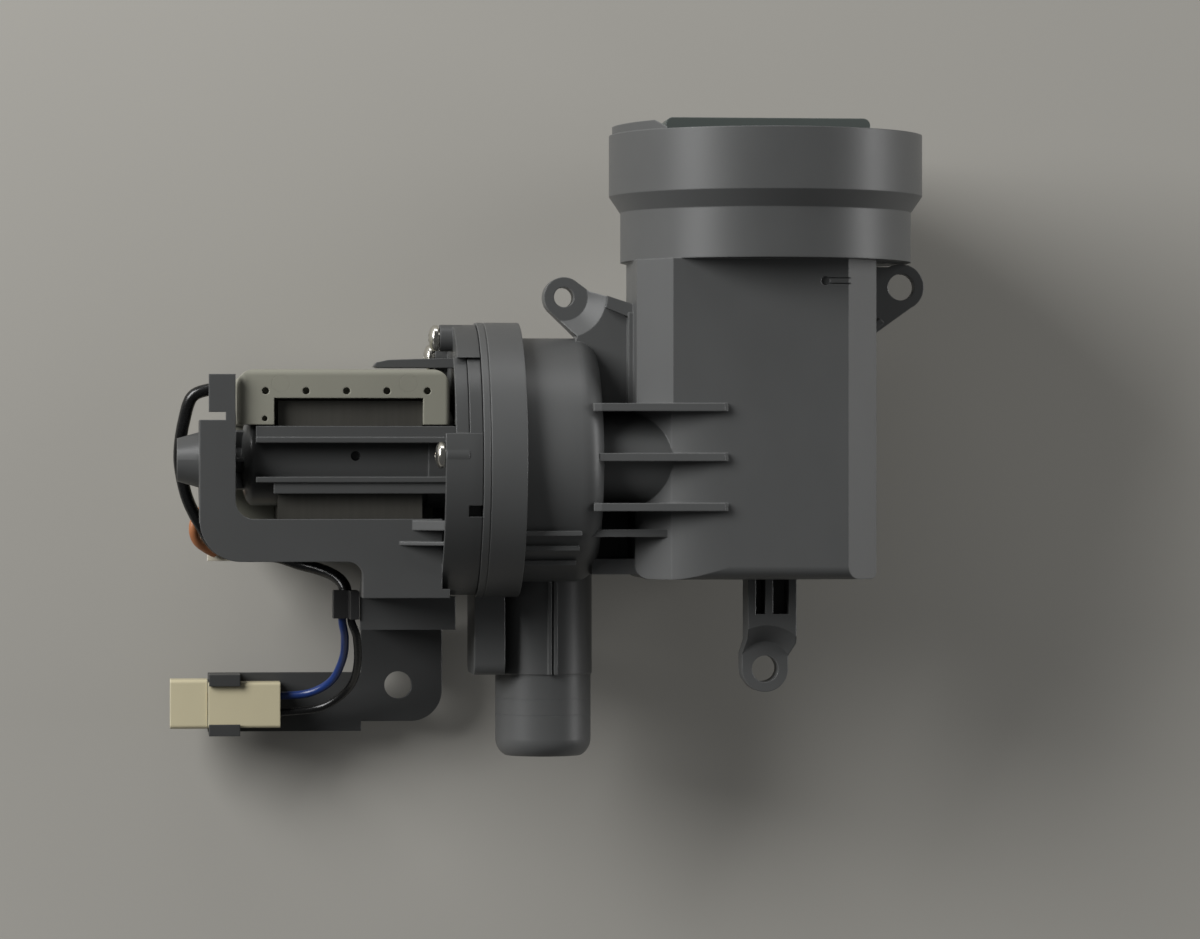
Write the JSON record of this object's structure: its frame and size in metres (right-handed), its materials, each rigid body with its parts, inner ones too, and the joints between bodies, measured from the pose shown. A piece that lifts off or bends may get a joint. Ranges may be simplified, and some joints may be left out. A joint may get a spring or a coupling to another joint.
{
  "type": "washer drain pump",
  "caption": "Drain pump for a washing machine with a lift-out lint filter, spigot inlet and outlet, fixing lugs, and an open-frame synchronous motor with its leads and plug.",
  "frame": {"origin": "centre of the tub inlet's rim, which is also the plane that the pump stands on", "axes": "+X from the motor to the filter chamber, along the pump axis; +Y from the outlet spigot to the filter mouth; +Z out of the tub inlet through the chamber, so up as the pump lies on its inlet"},
  "size_m": [0.2049, 0.1737, 0.0947],
  "materials": {
    "housing_plastic": "satin moulded glass-filled plastic",
    "frame_plastic": "satin moulded plastic",
    "case_plastic": "matt moulded plastic",
    "seal_rubber": "matt",
    "screw_steel": "zinc plated",
    "bearing_carbon": "matt",
    "magnet_ferrite": "ground ferrite",
    "washer_plastic": "matt",
    "impeller_plastic": "matt",
    "lamination_steel": "varnished laminations",
    "coil_copper": "enamelled copper wire",
    "contact_brass": "tinned",
    "brown_insulation": "semi-gloss",
    "black_insulation": "semi-gloss",
    "blue_insulation": "semi-gloss",
    "clip_plastic": "matt",
    "plug_plastic": "satin",
    "filter_plastic": "satin",
    "cap_plastic": "satin"
  },
  "bodies": {
    "pump_body": {"pump_housing": "housing_plastic", "cover_seal": "seal_rubber", "rotor_cover": "housing_plastic", "motor_frame": "frame_plastic", "cover_screws": "screw_steel", "bearing_carrier": "seal_rubber", "front_bearing": "bearing_carbon", "rear_bearing": "bearing_carbon", "stator_core": "lamination_steel", "stator_coils": "coil_copper", "coil_case": "case_plastic", "coil_terminals": "contact_brass", "thermal_fuse": "plug_plastic", "brown_lead": "brown_insulation", "wire_sleeve": "black_insulation", "blue_lead": "blue_insulation", "black_lead": "black_insulation", "wire_clip": "clip_plastic", "connector_bracket": "frame_plastic", "bracket_screws": "screw_steel", "plug_housing": "plug_plastic", "plug_collar": "plug_plastic", "plug_contacts": "contact_brass"},
    "rotor": {"rotor_shaft": "screw_steel", "rotor_magnet": "magnet_ferrite", "thrust_washers": "washer_plastic", "impeller": "impeller_plastic"},
    "filter": {"filter_basket": "filter_plastic"},
    "cap": {"filter_cap": "cap_plastic", "cap_seal": "seal_rubber"}
  },
  "joints": [
    {"name": "rotor_spin", "type": "hinge", "parent": "pump_body", "child": "rotor", "pos_m": [-0.1, -0.0074, 0.052], "axis": [1, 0, 0], "continuous": true},
    {"name": "filter_pull", "type": "slide", "parent": "pump_body", "child": "filter", "axis": [0, 1, 0], "range_m": [0, 0.12]},
    {"name": "cap_turn", "type": "hinge", "parent": "filter", "child": "cap", "pos_m": [0.005, 0.07, 0.052], "axis": [0, 1, 0], "range_deg": [0, 90]}
  ]
}
